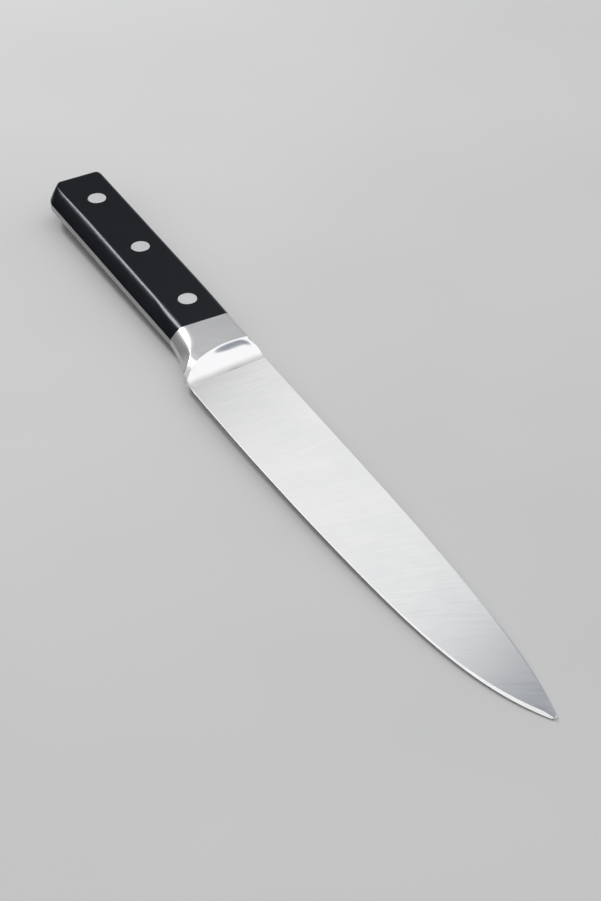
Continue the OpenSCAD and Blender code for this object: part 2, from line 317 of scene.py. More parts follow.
# A place round the upper half of a cross-section is a zone, from the spine's rounding over the flat
# side to the facet on the belly side, and a share of the way through it
ROUND = "round"
FLAT = "flat"
FACET = "facet"
CREST = (FACET, 0)
BELLY = (FACET, 1)
ROUND_STEPS = 12
FLAT_STEPS = 26
FACET_STEPS = 30
WALL_STEPS = 6

# On the blade the flat zone's places end at this share of the ground face. The facet's places cover
# the rest of it up to the bevel share, and after that the bevel.
FACE_SHARE = 0.7
BEVEL_SHARE = 0.8

# Power with which the strip along the edge is lifted to the thickness of the heel
EDGE_LIFT_POWER = 2


def half_places():
    places = [(ROUND, k / ROUND_STEPS) for k in range(ROUND_STEPS + 1)]
    places += [(FLAT, ease(k / FLAT_STEPS)) for k in range(1, FLAT_STEPS)]
    places += [(FACET, k / FACET_STEPS) for k in range(FACET_STEPS + 1)]
    return places


PLACES = half_places()


def spine_round(top):
    """Rounding of the spine side, no more than the wall above the tang allows."""
    return min(SPINE_ROUND_R, ROUND_WALL_SHARE * (top - TANG_H))


def grip_width(place, spine, belly, crest, top):
    zone, t = place
    edge = spine - spine_round(top)
    if zone == ROUND:
        return edge + spine_round(top) * math.cos(math.pi / 2 * t)
    if zone == FLAT:
        return mix(edge, -crest, t)
    return -mix(crest, belly, t)


def grip_height(place, width, belly, crest, top, strip, bulged, soft):
    zone, t = place
    if zone == ROUND:
        return top - spine_round(top) * (1 - math.sin(math.pi / 2 * t))
    down = (-width - crest) / (belly - crest)
    if down > 0:
        fall = down * (1 - bulged) + bulged * down ** 2
    else:
        fall = down * max(LEAST_SLOPE_SHARE, 1 - bulged)
    return soft_min(top, mix(top, strip, fall), soft)


# Lines along the forging
def crease_width(place):
    return grip_width(place, NECK_SPINE_W, CHIN_W, CREASE_CREST_W, HALF_T)


def crease_line(place):
    apex = CREASE_APEX_SHARE * NECK_SPINE_W
    off = abs(apex - crease_width(place)) / (apex + CHIN_W)
    return CREASE_S + CREASE_BOW * off ** CREASE_POWER


CREASE_END_S = crease_line(BELLY)


def ridge_line(place):
    zone, t = place
    if zone == FACET:
        return mix(CHIN_S, crease_line(CREST) - GUARD_FRONT_L, (1 - t) ** RIDGE_POWER)
    return crease_line(place) - GUARD_FRONT_L


def foot_line(place):
    lean = (BLADE_SPINE_W - crease_width(place)) / (BLADE_SPINE_W + BLADE_EDGE_W)
    return FOOT_S + FOOT_LEAN * lean


def back_point(t, place):
    """A place at share t of the way from the scales to the ridge of the guard."""
    s = mix(HANDLE_L, ridge_line(place), t)
    belly_s = mix(HANDLE_L, CHIN_S, t)
    belly = belly_w(belly_s)
    crest = crest_w(mix(HANDLE_L, ridge_line(CREST), t))
    soft = mix(JOINT_CREST_SOFT, RIDGE_CREST_SOFT, t)
    width = grip_width(place, spine_w(s), belly, crest, HALF_T)
    bulged = mix(JOINT_BULGE, RIDGE_BULGE, t ** RIDGE_BULGE_POWER)
    height = grip_height(place, width, belly, crest, HALF_T, strip_h(belly_s), bulged, soft)
    return Vector((s, width, height))


def front_width(place, s):
    """Width of a place in front of the crease, before it blends into the blade."""
    return grip_width(place, spine_w(s), belly_w(max(s, CREASE_END_S)), CREASE_CREST_W, HALF_T)


def crease_point(place):
    s = crease_line(place)
    width = front_width(place, s)
    belly = belly_w(CREASE_END_S)
    low = strip_h(CREASE_END_S)
    height = grip_height(
        place, width, belly, CREASE_CREST_W, HALF_T, low, CREASE_BULGE, RIDGE_CREST_SOFT)
    return Vector((s, width, height))


# Cross-section of the blade
def narrowed(s, size):
    """A width along the blade's outline, which narrows at the tip."""
    return min(size, NARROW_SHARE * (belly_w(s) + spine_w(s)))


def bevel_growth(s):
    """How far the bevel has grown to its size at the tip, late along the blade."""
    return swept(s, BLADE_L) ** BEVEL_POWER


def bevel_w(s):
    return narrowed(s, mix(HEEL_BEVEL_W, TIP_BEVEL_W, bevel_growth(s)))


def bevel_t(s):
    return mix(BEVEL_T, TIP_BEVEL_T, bevel_growth(s))


def spine_h(s):
    return mix(SPINE_T, TIP_T, swept(s, BLADE_L)) / 2


def chamfer_w(s):
    return min(narrowed(s, SPINE_CHAMFER), CHAMFER_WALL_SHARE * spine_h(s))


def blade_width(place, s):
    zone, t = place
    top = spine_w(s) - chamfer_w(s)
    low = bevel_w(s) - belly_w(s)
    if zone == ROUND:
        return mix(spine_w(s), top, t)
    if zone == FLAT:
        return mix(top, low, FACE_SHARE * t)
    if t <= BEVEL_SHARE:
        return mix(top, low, mix(FACE_SHARE, 1, t / BEVEL_SHARE))
    return mix(low, -belly_w(s), (t - BEVEL_SHARE) / (1 - BEVEL_SHARE))


def blade_height(s, width):
    """The flat-ground face with its cutting bevel and its broken spine."""
    from_edge = width + belly_w(s)
    from_spine = spine_w(s) - width
    bevel = bevel_w(s)
    if from_edge < bevel:
        return mix(EDGE_T, bevel_t(s), max(0, from_edge) / bevel) / 2
    rise = (from_edge - bevel) / (from_edge + from_spine - bevel)
    broken = spine_h(s) - CHAMFER_FALL * (chamfer_w(s) - from_spine)
    return min(mix(bevel_t(s) / 2, spine_h(s), rise), broken)


def near_edge(place):
    """How far a place lies within the strip along the edge, from 0 to 1."""
    zone, t = place
    if zone != FACET:
        return 0
    return max(0, t - BEVEL_SHARE) / (1 - BEVEL_SHARE)


def shoulder_fall(t, place):
    """Share of the shoulder's fall: scooped and steeper at its foot where the shoulder is long."""
    length = foot_line(place) - crease_line(place)
    scoop = min(1, max(0, (length - SHORT_SHOULDER_L) / (SHOULDER_L - SHORT_SHOULDER_L)))
    scoop *= mix(RIM_SCOOP_SHARE, 1, ease((NECK_SPINE_W - crease_width(place) - RIM_W) / RIM_FADE_W))
    start = mix(1, LONG_START_SHARE, scoop) * (t ** 3 - 2 * t ** 2 + t)
    end = mix(1, LONG_END_SHARE, scoop) * (t ** 3 - t ** 2)
    lip = mix(0, LONG_LIP_SHARE, scoop) * t * (1 - t) ** LIP_POWER
    return start + end + lip + 3 * t ** 2 - 2 * t ** 3


def shoulder_height(t, place, s, width):
    return mix(crease_point(place)[2], blade_height(s, width), shoulder_fall(t, place))


def shoulder_point(t, place):
    s = mix(crease_line(place), foot_line(place), t)
    width = mix(front_width(place, s), blade_width(place, s), ease(t))
    edge_s = mix(CREASE_END_S, foot_line(BELLY), t)
    lift = strip_h(edge_s) - shoulder_height(t, BELLY, edge_s, -belly_w(edge_s))
    height = shoulder_height(t, place, s, width) + lift * near_edge(place) ** EDGE_LIFT_POWER
    return Vector((s, width, height))


def blade_point(s, place):
    width = blade_width(place, s)
    lift = max(0, strip_h(s) - EDGE_T / 2)
    height = blade_height(s, width) + lift * near_edge(place) ** EDGE_LIFT_POWER
    return Vector((s, width, height))


def tang_point(s, place):
    width = grip_width(place, spine_w(s), belly_w(s), crest_w(s), grip_h(s))
    return Vector((s, width, TANG_H))


# Rows of the forging's grid along each stretch; a row is a list of points round the upper half
BUTT_ROWS = 20
GRIP_ROWS = 60
BOLSTER_ROWS = 80
GUARD_ROWS = 20
SHOULDER_ROWS = 44
BLADE_ROWS = 150
NOSE_ROWS = 10


def grip_stations():
    """Stations of the tang and the scales, close together round the butt."""
    bent = [BELLY_CORNER_R * (1 - math.cos(math.pi / 2 * k / BUTT_ROWS)) for k in range(BUTT_ROWS)]
    return bent + [mix(BELLY_CORNER_R, HANDLE_L, k / GRIP_ROWS) for k in range(GRIP_ROWS + 1)]


def forging_rows():
    """All rows from the butt to the tip, and the numbers of the rows where a stretch starts."""
    rows = [[tang_point(s, p) for p in PLACES] for s in grip_stations()]
    marks = {"joint": len(rows)}
    for k in range(BOLSTER_ROWS):
        rows.append([back_point(k / BOLSTER_ROWS, p) for p in PLACES])
    marks["ridge"] = len(rows)
    for k in range(GUARD_ROWS):
        rows.append([back_point(1, p).lerp(crease_point(p), k / GUARD_ROWS) for p in PLACES])
    marks["crease"] = len(rows)
    for k in range(SHOULDER_ROWS):
        rows.append([shoulder_point(k / SHOULDER_ROWS, p) for p in PLACES])
    marks["foot"] = len(rows)
    nose_s = OVERALL_L - NOSE_R
    for k in range(BLADE_ROWS):
        rows.append([blade_point(mix(foot_line(p), nose_s, k / BLADE_ROWS), p) for p in PLACES])
    for k in range(NOSE_ROWS + 1):
        s = OVERALL_L - NOSE_R * (1 - math.sin(math.pi / 2 * k / NOSE_ROWS))
        rows.append([blade_point(s, p) for p in PLACES])
    return rows, marks


def soften_rows(rows, centre, reach, passes):
    """Rounds the fold along one row by drawing the rows near it towards their neighbours' middle."""
    for _ in range(passes):
        before = [[p.copy() for p in row] for row in rows[centre - reach - 1:centre + reach + 2]]
        for off in range(-reach, reach + 1):
            weight = math.cos(math.pi / 2 * off / (reach + 1))
            here = off + reach + 1
            for i, point in enumerate(before[here]):
                middle = (before[here - 1][i] + before[here + 1][i]) / 2
                rows[centre + off][i] = point.lerp(middle, SMOOTHING_SHARE * weight)


# Points of a mesh that lie closer than this many metres are one
WELD_REACH = 1e-8


def placed(point):
    """A point of the knife's own lines as a place in the frame, in metres."""
    return Vector((BUTT_X + point[0], AXIS_Y + point[1], HALF_T + point[2])) * MM


def crisp(mesh, sharp_deg):
    """Makes the folds crisp, and every line at which one finish meets another."""
    mesh.set_sharp_from_angle(angle=math.radians(sharp_deg))
    bm = bmesh.new()
    bm.from_mesh(mesh)
    for edge in bm.edges:
        if len({face.material_index for face in edge.link_faces}) > 1:
            edge.smooth = False
    bm.to_mesh(mesh)
    bm.free()


def in_scene(name, data):
    """Makes an object of the data and links it into the scene."""
    made = bpy.data.objects.new(name, data)
    bpy.context.scene.collection.objects.link(made)
    return made


def finished(name, bm, materials, sharp_deg):
    """An object made of the bmesh, smooth but for its crisp folds. The bmesh is freed."""
    bmesh.ops.recalc_face_normals(bm, faces=bm.faces)
    for face in bm.faces:
        face.smooth = True
    mesh = bpy.data.meshes.new(name)
    bm.to_mesh(mesh)
    bm.free()
    crisp(mesh, sharp_deg)
    for material in materials:
        mesh.materials.append(material)
    return in_scene(name, mesh)


def mesh_object(name, rings, materials, face_material, sharp_deg):
    """A closed skin through rings of points, with a flat cap at each end."""
    bm = bmesh.new()
    grid = [[bm.verts.new(placed(p)) for p in ring] for ring in rings]
    count = len(rings[0])
    for i in range(len(grid) - 1):
        for j in range(count):
            k = (j + 1) % count
            face = bm.faces.new((grid[i][j], grid[i + 1][j], grid[i + 1][k], grid[i][k]))
            face.material_index = face_material(i, j)
    bm.faces.new(grid[0]).material_index = face_material(0, 0)
    bm.faces.new(reversed(grid[-1])).material_index = face_material(len(grid) - 2, 0)
    bmesh.ops.remove_doubles(bm, verts=bm.verts, dist=WELD_REACH)
    return finished(name, bm, materials, sharp_deg)


def both_halves(half):
    """A closed ring from its upper half, which ends on the middle plane."""
    return half + [Vector((p[0], p[1], -p[2])) for p in reversed(half[:-1])]


def with_walls(row):
    """Adds the walls of the spine and of the belly to a row of the forging."""
    first = row[0]
    last = row[-1]
    wall = mix(TANG_H, WALL_SHARE * first[2], ease((first[0] - HANDLE_L) / BOLSTER_L))
    falls = [1 - k / WALL_STEPS for k in range(1, WALL_STEPS + 1)]
    belly = [Vector((last[0], last[1], last[2] * fall)) for fall in falls]
    return [Vector((first[0], first[1], wall))] + row + belly


def soften_belly(rows, marks):
    """Rounds the lower edge of the bolster, where the scales and the tang have a crisp one."""
    belly = len(PLACES)
    for _ in range(BELLY_PASSES):
        for i in range(marks["joint"] + 1, marks["ridge"]):
            after = (i - marks["joint"]) / BOLSTER_ROWS
            strength = ease(after / BELLY_FADE_SHARE) * ease((1 - after) / CHIN_FADE_SHARE)
            before = [p.copy() for p in rows[i]]
            for off in range(-BELLY_REACH, WALL_STEPS):
                weight = strength * math.cos(math.pi / 2 * off / (BELLY_REACH + 1))
                j = belly + off
                middle = (before[j - 1] + before[j + 1]) / 2
                rows[i][j] = before[j].lerp(middle, SMOOTHING_SHARE * weight)


# Points round a turned piece
TURNED_STEPS = 96


def turned_ring(bm, centre_s, radius, height):
    """Points round an upright axis, or the one point on the axis repeated."""
    if radius == 0:
        return [bm.verts.new(placed((centre_s, 0, height)))] * TURNED_STEPS
    ring = []
    for k in range(TURNED_STEPS):
        angle = 2 * math.pi * k / TURNED_STEPS
        point = (centre_s + radius * math.cos(angle), radius * math.sin(angle), height)
        ring.append(bm.verts.new(placed(point)))
    return ring


def turned(name, centre_s, profile, materials):
    """A turned piece: its profile lists radius and height, from the axis round to the axis."""
    bm = bmesh.new()
    rings = [turned_ring(bm, centre_s, radius, height) for radius, height in profile]
    for lower, upper in zip(rings, rings[1:]):
        for k in range(TURNED_STEPS):
            n = (k + 1) % TURNED_STEPS
            corners = [lower[k], lower[n], upper[n], upper[k]]
            unique = [v for i, v in enumerate(corners) if v not in corners[:i]]
            if len(unique) > 2:
                bm.faces.new(unique)
    return finished(name, bm, materials, TURNED_SHARP_DEG)


def cut(piece, cutters, sharp_deg):
    """Cuts the cutters out of the piece, keeps the result as its mesh and removes the cutters."""
    for cutter in cutters:
        step = piece.modifiers.new("bore", "BOOLEAN")
        step.operation = "DIFFERENCE"
        step.solver = "EXACT"
        step.object = cutter
    bpy.context.view_layer.update()
    shaped = piece.evaluated_get(bpy.context.evaluated_depsgraph_get())
    mesh = bpy.data.meshes.new_from_object(shaped)
    piece.modifiers.clear()
    piece.data = mesh
    crisp(mesh, sharp_deg)
    for cutter in cutters:
        bpy.data.objects.remove(cutter)


# Looks. Noise values lie between about these two. Scales are in cycles a metre along each axis, and
# the depths of bumps and grooves in metres.
NOISE_LOW = 0.3
NOISE_HIGH = 0.7
METAL_PATCHES = (60, 60, 60)
PLASTIC_CLOUDS = (90, 90, 90)
PLASTIC_GRAIN = (2600, 2600, 2600)
PLASTIC_RUBS = (160, 900, 400)
PLASTIC_DARK = (0.0012, 0.0016, 0.0036)
PLASTIC_LIGHT = (0.0024, 0.0028, 0.0052)
PLASTIC_SMOOTH = 0.19
PLASTIC_ROUGH = 0.25
PLASTIC_SPECULAR = 0.18
PLASTIC_TINT = (0.78, 0.88, 1.0, 1.0)
PLASTIC_BUMP = 0.000004

# Where along X the grind lines start to lean and where they lean most, in metres, and that lean
LEAN_START_X = 0.03
LEAN_END_X = 0.16
TIP_LEAN = -0.7

# Painted shade in the corner at the foot of the shoulder: its width and how bright the steel is painted
# at the foot
FOOT_SHADE_W = 2.2
FOOT_SHADE_LEVEL = 0.62


def new_material(name):
    material = bpy.data.materials.new(name)
    material.use_nodes = True
    tree = material.node_tree
    shader = tree.nodes["Principled BSDF"]
    return material, tree, shader


def add_node(tree, kind, **settings):
    made = tree.nodes.new(kind)
    for key, value in settings.items():
        setattr(made, key, value)
    return made


def own_place(tree):
    """Place of a point in the object's own axes, which are the frame's, in metres."""
    return add_node(tree, "ShaderNodeTexCoord").outputs["Object"]


def stretched_noise(tree, scale_xyz, detail, roughness=0.6, place=None):
    """Noise at the object's own place or at the given one, drawn out by its scale along each axis."""
    if place is None:
        place = own_place(tree)
    mapping = add_node(tree, "ShaderNodeMapping")
    mapping.inputs["Scale"].default_value = scale_xyz
    noise = add_node(tree, "ShaderNodeTexNoise")
    noise.inputs["Scale"].default_value = 1.0
    noise.inputs["Detail"].default_value = detail
    noise.inputs["Roughness"].default_value = roughness
    tree.links.new(place, mapping.inputs["Vector"])
    tree.links.new(mapping.outputs["Vector"], noise.inputs["Vector"])
    return noise.outputs["Fac"]


def ranged(tree, value, low, high):
    """The noise value spread over low to high."""
    spread = add_node(tree, "ShaderNodeMapRange")
    spread.inputs["From Min"].default_value = NOISE_LOW
    spread.inputs["From Max"].default_value = NOISE_HIGH
    spread.inputs["To Min"].default_value = low
    spread.inputs["To Max"].default_value = high
    tree.links.new(value, spread.inputs["Value"])
    return spread.outputs["Result"]


def tinted(tree, value, dark, light):
    """Colours from dark to light over the noise value."""
    ramp = add_node(tree, "ShaderNodeValToRGB")
    stops = ramp.color_ramp.elements
    for stop, at, colour in zip(stops, (NOISE_LOW, NOISE_HIGH), (dark, light)):
        stop.position = at
        stop.color = (*colour, 1)
    tree.links.new(value, ramp.inputs["Fac"])
    return ramp.outputs["Color"]


def bumped(tree, shader, height, depth):
    """Gives the shader a bump as high as the noise value."""
    bump = add_node(tree, "ShaderNodeBump")
    bump.inputs["Distance"].default_value = depth
    tree.links.new(height, bump.inputs["Height"])
    tree.links.new(bump.outputs["Normal"], shader.inputs["Normal"])


def grind_lines(tree, scale_xyz):
    """Lines across the blade that lean towards the tip there, as they follow the curve of the edge."""
    parts = add_node(tree, "ShaderNodeSeparateXYZ")
    lean = add_node(tree, "ShaderNodeMapRange")
    lean.inputs["From Min"].default_value = LEAN_START_X
    lean.inputs["From Max"].default_value = LEAN_END_X
    lean.inputs["To Max"].default_value = TIP_LEAN
    leaning = add_node(tree, "ShaderNodeMath", operation="MULTIPLY_ADD")
    leant = add_node(tree, "ShaderNodeCombineXYZ")
    tree.links.new(own_place(tree), parts.inputs["Vector"])
    tree.links.new(parts.outputs["X"], lean.inputs["Value"])
    tree.links.new(lean.outputs["Result"], leaning.inputs[0])
    tree.links.new(parts.outputs["Y"], leaning.inputs[1])
    tree.links.new(parts.outputs["X"], leaning.inputs[2])
    tree.links.new(leaning.outputs["Value"], leant.inputs["X"])
    tree.links.new(parts.outputs["Y"], leant.inputs["Y"])
    tree.links.new(parts.outputs["Z"], leant.inputs["Z"])
    return stretched_noise(tree, scale_xyz, detail=3.0, roughness=0.7, place=leant.outputs["Vector"])


def painted_foot_shade(tree):
    """Grey value of painted shade, falling off into the corner at the foot of the shoulder."""
    parts = add_node(tree, "ShaderNodeSeparateXYZ")
    lean = FOOT_LEAN / (BLADE_SPINE_W + BLADE_EDGE_W)
    along = add_node(tree, "ShaderNodeMath", operation="MULTIPLY_ADD")
    along.inputs[1].default_value = lean
    foot = (BUTT_X + FOOT_S + lean * (BLADE_SPINE_W + AXIS_Y)) * MM
    shade = add_node(tree, "ShaderNodeMapRange", interpolation_type="SMOOTHSTEP")
    shade.inputs["From Min"].default_value = foot - FOOT_SHADE_W * MM
    shade.inputs["From Max"].default_value = foot
    shade.inputs["To Min"].default_value = 1.0
    shade.inputs["To Max"].default_value = FOOT_SHADE_LEVEL
    tree.links.new(own_place(tree), parts.inputs["Vector"])
    tree.links.new(parts.outputs["Y"], along.inputs[0])
    tree.links.new(parts.outputs["X"], along.inputs[2])
    tree.links.new(along.outputs["Value"], shade.inputs["Value"])
    return shade.outputs["Result"]


def shaded(tree, colour, shade):
    """The colour times a grey value."""
    product = add_node(tree, "ShaderNodeVectorMath", operation="SCALE")
    tree.links.new(colour, product.inputs[0])
    tree.links.new(shade, product.inputs["Scale"])
    return product.outputs["Vector"]


def metal(
        name, dark, light, grain, smooth, rough, groove,
        anisotropy=0.0, along=None, ground=False, foot_shaded=False):
    """A steel finish. Its colour lies between dark and light and its roughness between smooth and
    rough, grain is the scale of its lines and groove their depth. A ground finish has lines that
    lean at the tip, and a foot-shaded one has painted shade, darker into the corner at the foot of the
    shoulder."""
    material, tree, shader = new_material(name)
    shader.inputs["Metallic"].default_value = 1.0
    shader.inputs["Anisotropic"].default_value = anisotropy
    if ground:
        lines = grind_lines(tree, grain)
    else:
        lines = stretched_noise(tree, grain, detail=4.0, roughness=0.65)
    patches = stretched_noise(tree, METAL_PATCHES, detail=2.0)
    colour = tinted(tree, patches, dark, light)
    # Painted shade: the steel's colour darkens into the corner at the foot of the shoulder
    if foot_shaded:
        colour = shaded(tree, colour, painted_foot_shade(tree))
    tree.links.new(colour, shader.inputs["Base Color"])
    tree.links.new(ranged(tree, lines, smooth, rough), shader.inputs["Roughness"])
    if along:
        tangent = add_node(tree, "ShaderNodeCombineXYZ")
        for axis, value in zip("XYZ", along):
            tangent.inputs[axis].default_value = value
        tree.links.new(tangent.outputs["Vector"], shader.inputs["Tangent"])
    bumped(tree, shader, lines, groove)
    return material


def black_plastic():
    material, tree, shader = new_material("black_plastic")
    cloud = stretched_noise(tree, PLASTIC_CLOUDS, detail=3.0)
    grain = stretched_noise(tree, PLASTIC_GRAIN, detail=2.0)
    rubbed = stretched_noise(tree, PLASTIC_RUBS, detail=3.0)
    colour = tinted(tree, cloud, PLASTIC_DARK, PLASTIC_LIGHT)
    roughness = ranged(tree, rubbed, PLASTIC_SMOOTH, PLASTIC_ROUGH)
    tree.links.new(colour, shader.inputs["Base Color"])
    tree.links.new(roughness, shader.inputs["Roughness"])
    shader.inputs["Specular IOR Level"].default_value = PLASTIC_SPECULAR
    shader.inputs["Specular Tint"].default_value = PLASTIC_TINT
    bumped(tree, shader, grain, PLASTIC_BUMP)
    return material


# Blade and bolster are one steel: the blade's colour, lighter than the satin bolster's, is painted sheen
# for the overhead light its grind lines catch, while the lines and roughness are its own
GROUND_STEEL = metal(
    "ground_steel",
    dark=(0.83, 0.835, 0.84), light=(0.87, 0.87, 0.87),
    grain=(1000, 90, 90), smooth=0.12, rough=0.18, groove=0.0000024,
    anisotropy=0.5, along=(0, 1, 0), ground=True)
BEVEL_STEEL = metal(
    "bevel_steel",
    dark=(0.77, 0.77, 0.775), light=(0.83, 0.83, 0.835),
    grain=(900, 900, 900), smooth=0.64, rough=0.72, groove=0.0000002)
SATIN_STEEL = metal(
    "satin_steel",
    dark=(0.62, 0.62, 0.625), light=(0.69, 0.69, 0.695),
    grain=(1500, 120, 120), smooth=0.28, rough=0.38, groove=0.000002)
# Polished shoulder, with painted shade along its foot
POLISHED_STEEL = metal(
    "polished_steel",
    dark=(0.92, 0.92, 0.93), light=(0.95, 0.95, 0.95),
    grain=(300, 300, 300), smooth=0.1, rough=0.17, groove=0.0000004, foot_shaded=True)
SPINE_STEEL = metal(
    "spine_steel",
    dark=(0.9, 0.9, 0.91), light=(0.94, 0.94, 0.94),
    grain=(900, 900, 900), smooth=0.14, rough=0.22, groove=0.0000002)
# Tang edge: its rough ground finish is its own, its dark colour is painted shade for the shadowed floor
# it mirrors under the handle
TANG_STEEL = metal(
    "tang_steel",
    dark=(0.38, 0.375, 0.37), light=(0.45, 0.445, 0.44),
    grain=(220, 900, 2200), smooth=0.34, rough=0.44, groove=0.000001)
RIVET_STEEL = metal(
    "rivet_steel",
    dark=(0.79, 0.79, 0.8), light=(0.84, 0.84, 0.85),
    grain=(300, 2400, 300), smooth=0.3, rough=0.38, groove=0.0000008)
PLASTIC = black_plastic()


# Finishes of the forging and their numbers in its list of materials
FINISHES = [TANG_STEEL, SATIN_STEEL, POLISHED_STEEL, GROUND_STEEL, BEVEL_STEEL, SPINE_STEEL]
TANG, SATIN, POLISHED, GROUND, BEVEL, SPINE = range(len(FINISHES))


def make_forging():
    rows, marks = forging_rows()
    rows = [with_walls(row) for row in rows]
    soften_rows(rows, marks["ridge"], RIDGE_REACH, RIDGE_PASSES)
    soften_belly(rows, marks)
    rings = [both_halves(row) for row in rows]
    ring_size = len(rings[0])
    bevel_from = len(PLACES) - round((1 - BEVEL_SHARE) * FACET_STEPS)

    def finish_of(i, j):
        """Finish of the face after row i and column j, the same above and below the middle plane."""
        column = min(j, ring_size - 1 - j)
        if i < marks["joint"]:
            return TANG
        if i < marks["crease"]:
            return SATIN
        if i < marks["foot"]:
            return POLISHED
        if column <= ROUND_STEPS:
            return SPINE
        return BEVEL if column >= bevel_from else GROUND

    return mesh_object("forging", rings, FINISHES, finish_of, FORGING_SHARP_DEG)


def make_scale(name, side):
    """A scale: its side is 1 for the upper one and -1 for the lower one, its mirror."""
    rings = []
    for s in grip_stations():
        belly = belly_w(s)
        crest = crest_w(s)
        top = grip_h(s)
        ring = [Vector((s, spine_w(s), side * TANG_H))]
        for place in PLACES:
            width = grip_width(place, spine_w(s), belly, crest, top)
            height = grip_height(place, width, belly, crest, top, TANG_H, bulge(s), crest_soft(s))
            ring.append(Vector((s, width, side * height)))
        rings.append(ring)
    return mesh_object(name, rings, [PLASTIC], lambda i, j: 0, SCALE_SHARP_DEG)


def rivet_bore(centre_s, side):
    """Cutter for the bore and the counterbore of one rivet in a scale."""
    head_r = HEAD_D / 2 + HEAD_FIT
    bore_r = SLEEVE_D / 2 + SLEEVE_FIT
    inside = TANG_H - CUTTER_OVERRUN
    outside = HALF_T + CUTTER_OVERRUN
    profile = [
        (0, inside),
        (bore_r, inside),
        (bore_r, HALF_T - HEAD_H),
        (head_r, HALF_T - HEAD_H),
        (head_r, HALF_T - BORE_BREAK),
        (head_r + BORE_BREAK + CUTTER_OVERRUN, outside),
        (0, outside),
    ]
    return turned("cutter", centre_s, [(r, side * h) for r, h in profile], [])


def tang_bore(centre_s):
    """Cutter for the bore of one rivet in the tang."""
    radius = SLEEVE_D / 2 + SLEEVE_FIT
    past = TANG_H + CUTTER_OVERRUN
    profile = [(0, -past), (radius, -past), (radius, past), (0, past)]
    return turned("cutter", centre_s, profile, [])


def make_pin(name, centre_s):
    """Solid half of a rivet, with the upper head."""
    head_r = HEAD_D / 2
    profile = [
        (0, HALF_T),
        (head_r - HEAD_BREAK, HALF_T),
        (head_r, HALF_T - HEAD_BREAK),
        (head_r, HALF_T - HEAD_H),
        (PIN_D / 2, HALF_T - HEAD_H),
        (PIN_D / 2, HEAD_H + END_GAP - HALF_T),
        (0, HEAD_H + END_GAP - HALF_T),
    ]
    return turned(name, centre_s, profile, [RIVET_STEEL])


def make_sleeve(name, centre_s):
    """Hollow half of a rivet, with the lower head."""
    head_r = HEAD_D / 2
    bore_r = PIN_D / 2 + PIN_FIT
    profile = [
        (0, -HALF_T),
        (head_r - HEAD_BREAK, -HALF_T),
        (head_r, HEAD_BREAK - HALF_T),
        (head_r, HEAD_H - HALF_T),
        (SLEEVE_D / 2, HEAD_H - HALF_T),
        (SLEEVE_D / 2, HALF_T - HEAD_H - END_GAP),
        (bore_r, HALF_T - HEAD_H - END_GAP),
        (bore_r, HEAD_H - HALF_T),
        (0, HEAD_H - HALF_T),
    ]
    return turned(name, centre_s, profile, [RIVET_STEEL])


def station_of(node):
    """Station of the middle of a CAD node."""
    low, high = box_mm(node)
    return (low[0] + high[0]) / 2 - BUTT_X


def stand_for(piece, node):
    """Puts a piece in the place of a CAD node, on the knife's one body."""
    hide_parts(node)
    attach(piece, "root")


RIVETS = ["rear_rivet", "middle_rivet", "front_rivet"]
RIVET_S = [station_of(name + "_pin") for name in RIVETS]

forging = make_forging()
cut(forging, [tang_bore(s) for s in RIVET_S], FORGING_SHARP_DEG)
stand_for(forging, "blade")
for scale_name, side in (("upper_scale", 1), ("lower_scale", -1)):
    scale = make_scale(scale_name + "_skin", side)
    cut(scale, [rivet_bore(s, side) for s in RIVET_S], SCALE_SHARP_DEG)
    stand_for(scale, scale_name)
for rivet_name, rivet_s in zip(RIVETS, RIVET_S):
    stand_for(make_pin(rivet_name + "_head", rivet_s), rivet_name + "_pin")
    stand_for(make_sleeve(rivet_name + "_socket", rivet_s), rivet_name + "_sleeve")

# Floor: the knife lies on its tip and on the front of its bolster, so the floor leans in its frame
REST_FRONT_S = CREASE_S
FLOOR_SLOPE = math.atan((HALF_T - TIP_T / 2) / (OVERALL_L - REST_FRONT_S))
FLOOR_SIZE = 8
FLOOR_CLOUDS = (6, 6, 6)
FLOOR_GRAIN = (700, 700, 700)
FLOOR_DARK = (0.55, 0.55, 0.55)
FLOOR_LIGHT = (0.58, 0.58, 0.58)
FLOOR_ROUGHNESS = 0.9
FLOOR_SPECULAR = 0.1
FLOOR_BUMP = 0.00002


def pale_floor():
    material, tree, shader = new_material("pale_floor")
    cloud = stretched_noise(tree, FLOOR_CLOUDS, detail=2.0)
    grain = stretched_noise(tree, FLOOR_GRAIN, detail=2.0)
    tree.links.new(tinted(tree, cloud, FLOOR_DARK, FLOOR_LIGHT), shader.inputs["Base Color"])
    shader.inputs["Roughness"].default_value = FLOOR_ROUGHNESS
    shader.inputs["Specular IOR Level"].default_value = FLOOR_SPECULAR
    bumped(tree, shader, grain, FLOOR_BUMP)
    return material


def make_floor():
    mesh = bpy.data.meshes.new("floor")
    half = FLOOR_SIZE / 2
    corners = [(-half, -half, 0), (half, -half, 0), (half, half, 0), (-half, half, 0)]
    mesh.from_pydata(corners, [], [(0, 1, 2, 3)])
    mesh.materials.append(pale_floor())
    floor = in_scene("floor", mesh)
    floor.location = ((BUTT_X + REST_FRONT_S) * MM, 0, 0)
    floor.rotation_euler = (0, -FLOOR_SLOPE, 0)


make_floor()

# Camera at the photograph's place: metres and degrees in the frame
CAMERA_AT = (0.64556, -0.31367, 0.53408)
CAMERA_TURN_DEG = (52.969, 1.411, 62.245)
CAMERA_LENS = 108.11
CAMERA_SENSOR = 36


def make_camera():
    data = bpy.data.cameras.new("camera")
    data.sensor_fit = "VERTICAL"
    data.sensor_height = CAMERA_SENSOR
    data.lens = CAMERA_LENS
    camera = in_scene("camera", data)
    camera.location = CAMERA_AT
    camera.rotation_euler = [math.radians(a) for a in CAMERA_TURN_DEG]
    bpy.context.scene.camera = camera


make_camera()


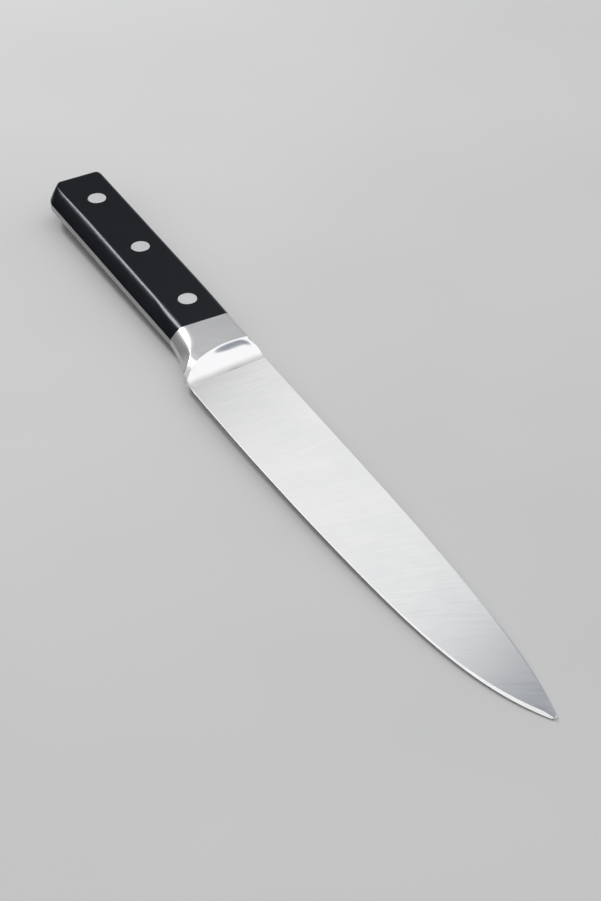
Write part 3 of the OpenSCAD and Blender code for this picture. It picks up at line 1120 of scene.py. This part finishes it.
def soft_lamp(name, towards, distance, length, width, radiance):
    """An area lamp that stands in the given direction and faces the knife, as bright as the radiance."""
    data = bpy.data.lights.new(name, "AREA")
    data.shape = "RECTANGLE"
    data.size = length
    data.size_y = width
    data.energy = radiance * math.pi * length * width
    lamp = in_scene(name, data)
    lamp.location = Vector(towards).normalized() * distance
    lamp.rotation_euler = lamp.location.to_track_quat("Z", "Y").to_euler()


soft_lamp(
    "window", towards=(-0.755, -0.12, 0.64), distance=1.4, length=0.26, width=0.36, radiance=28)

# World: plain softboxes in bands along X, dimmer low down on the side of the edge. Each band is a
# direction's x and its colour. Each step of the rise is how far a direction lies towards the rise
# axis, up and back, and how bright it is.
SKY_BANDS = (
    (-1.0, (0.28, 0.28, 0.28)),
    (-0.763, (0.27, 0.27, 0.28)),
    (-0.75, (0.46, 0.46, 0.47)),
    (-0.737, (0.95, 0.95, 0.95)),
    (-0.643, (0.97, 0.97, 0.97)),
    (-0.628, (0.32, 0.34, 0.37)),
    (-0.6, (0.22, 0.245, 0.285)),
    (-0.47, (0.45, 0.475, 0.51)),
    (-0.4, (1.0, 1.0, 1.01)),
    (0.46, (1.0, 1.0, 1.01)),
    (0.54, (0.6, 0.6, 0.6)),
    (1.0, (0.5, 0.5, 0.5)),
)
SKY_RISE = ((-1.0, 0.05), (-0.15, 0.3), (0.06, 0.85), (0.4, 1.0), (1.0, 1.0))
RISE_AXIS = (0, 0.5, 0.866)


def sky_ramp(sky, value, steps):
    """Colours over a value from -1 to 1."""
    spread = add_node(sky, "ShaderNodeMapRange")
    spread.inputs["From Min"].default_value = -1.0
    ramp = add_node(sky, "ShaderNodeValToRGB")
    stops = ramp.color_ramp.elements
    stops_at_first = len(stops)
    for k, (at, colour) in enumerate(steps):
        stop = stops[k] if k < stops_at_first else stops.new(1.0)
        stop.position = (at + 1) / 2
        stop.color = (*colour, 1)
    sky.links.new(value, spread.inputs["Value"])
    sky.links.new(spread.outputs["Result"], ramp.inputs["Fac"])
    return ramp.outputs["Color"]


def make_world():
    world = bpy.data.worlds.new("world")
    world.use_nodes = True
    bpy.context.scene.world = world
    sky = world.node_tree
    direction = add_node(sky, "ShaderNodeTexCoord").outputs["Generated"]
    parts = add_node(sky, "ShaderNodeSeparateXYZ")
    rise = add_node(sky, "ShaderNodeVectorMath", operation="DOT_PRODUCT")
    rise.inputs[1].default_value = RISE_AXIS
    light = add_node(sky, "ShaderNodeVectorMath", operation="MULTIPLY")
    greys = [(at, (level, level, level)) for at, level in SKY_RISE]
    sky.links.new(direction, parts.inputs["Vector"])
    sky.links.new(direction, rise.inputs[0])
    sky.links.new(sky_ramp(sky, parts.outputs["X"], SKY_BANDS), light.inputs[0])
    sky.links.new(sky_ramp(sky, rise.outputs["Value"], greys), light.inputs[1])
    sky.links.new(light.outputs["Vector"], sky.nodes["Background"].inputs["Color"])


make_world()
bpy.context.scene.view_settings.view_transform = "Standard"
